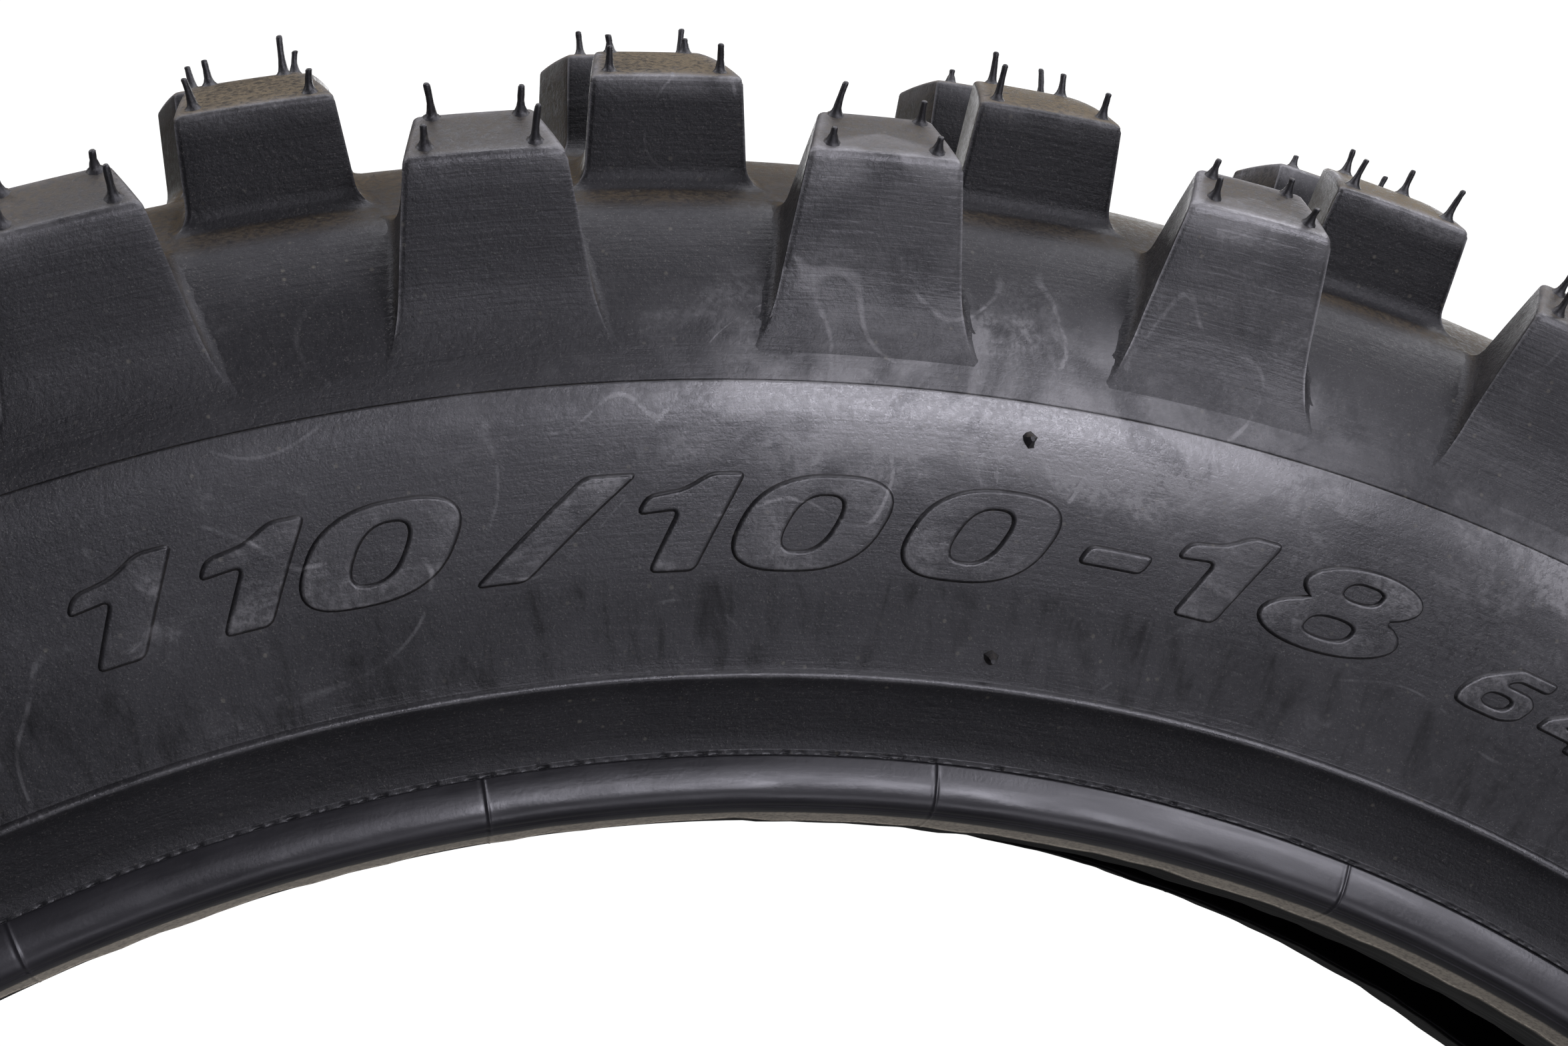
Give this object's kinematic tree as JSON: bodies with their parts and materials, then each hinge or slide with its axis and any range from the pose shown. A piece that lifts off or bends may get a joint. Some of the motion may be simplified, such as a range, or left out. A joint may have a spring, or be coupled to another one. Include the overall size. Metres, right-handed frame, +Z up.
{
  "type": "motorcycle tyre",
  "caption": "Off-road motorcycle rear tyre: knobbed tread, layered fabric carcass and wire beads. It seats on a rim over an inner tube and grips loose ground.",
  "frame": {"origin": "wheel centre: on the spin axis, midway between the two beads", "axes": "+Y along the spin axis towards the right side, +Z up, +X along the ground"},
  "size_m": [0.6834, 0.1134, 0.6832],
  "materials": {
    "tread_rubber": "matt moulded rubber with light scuffs",
    "side_rubber": "matt moulded rubber with fine turned lines",
    "bead_rubber": "smooth satin rubber",
    "under_rubber": "matt",
    "liner_rubber": "smooth satin rubber",
    "filler_rubber": "matt hard rubber",
    "carcass_cord": "rubber-dipped cord fabric",
    "breaker_cord": "rubber-dipped cord fabric",
    "bead_tape": "woven tape",
    "bead_wire": "bronze-coated wire bundle"
  },
  "bodies": {
    "root": {"tread_cap": "tread_rubber", "tread_base": "under_rubber", "breaker_outer": "breaker_cord", "breaker_inner": "breaker_cord", "outer_ply": "carcass_cord", "inner_ply": "carcass_cord", "inner_liner": "liner_rubber", "sidewall_left": "side_rubber", "sidewall_right": "side_rubber", "rim_cushion_left": "bead_rubber", "rim_cushion_right": "bead_rubber", "chafer_left": "bead_rubber", "chafer_right": "bead_rubber", "bead_filler_left": "filler_rubber", "bead_filler_right": "filler_rubber", "bead_wrap_left": "bead_tape", "bead_wrap_right": "bead_tape", "bead_hoop_left": "bead_wire", "bead_hoop_right": "bead_wire"}
  },
  "joints": []
}
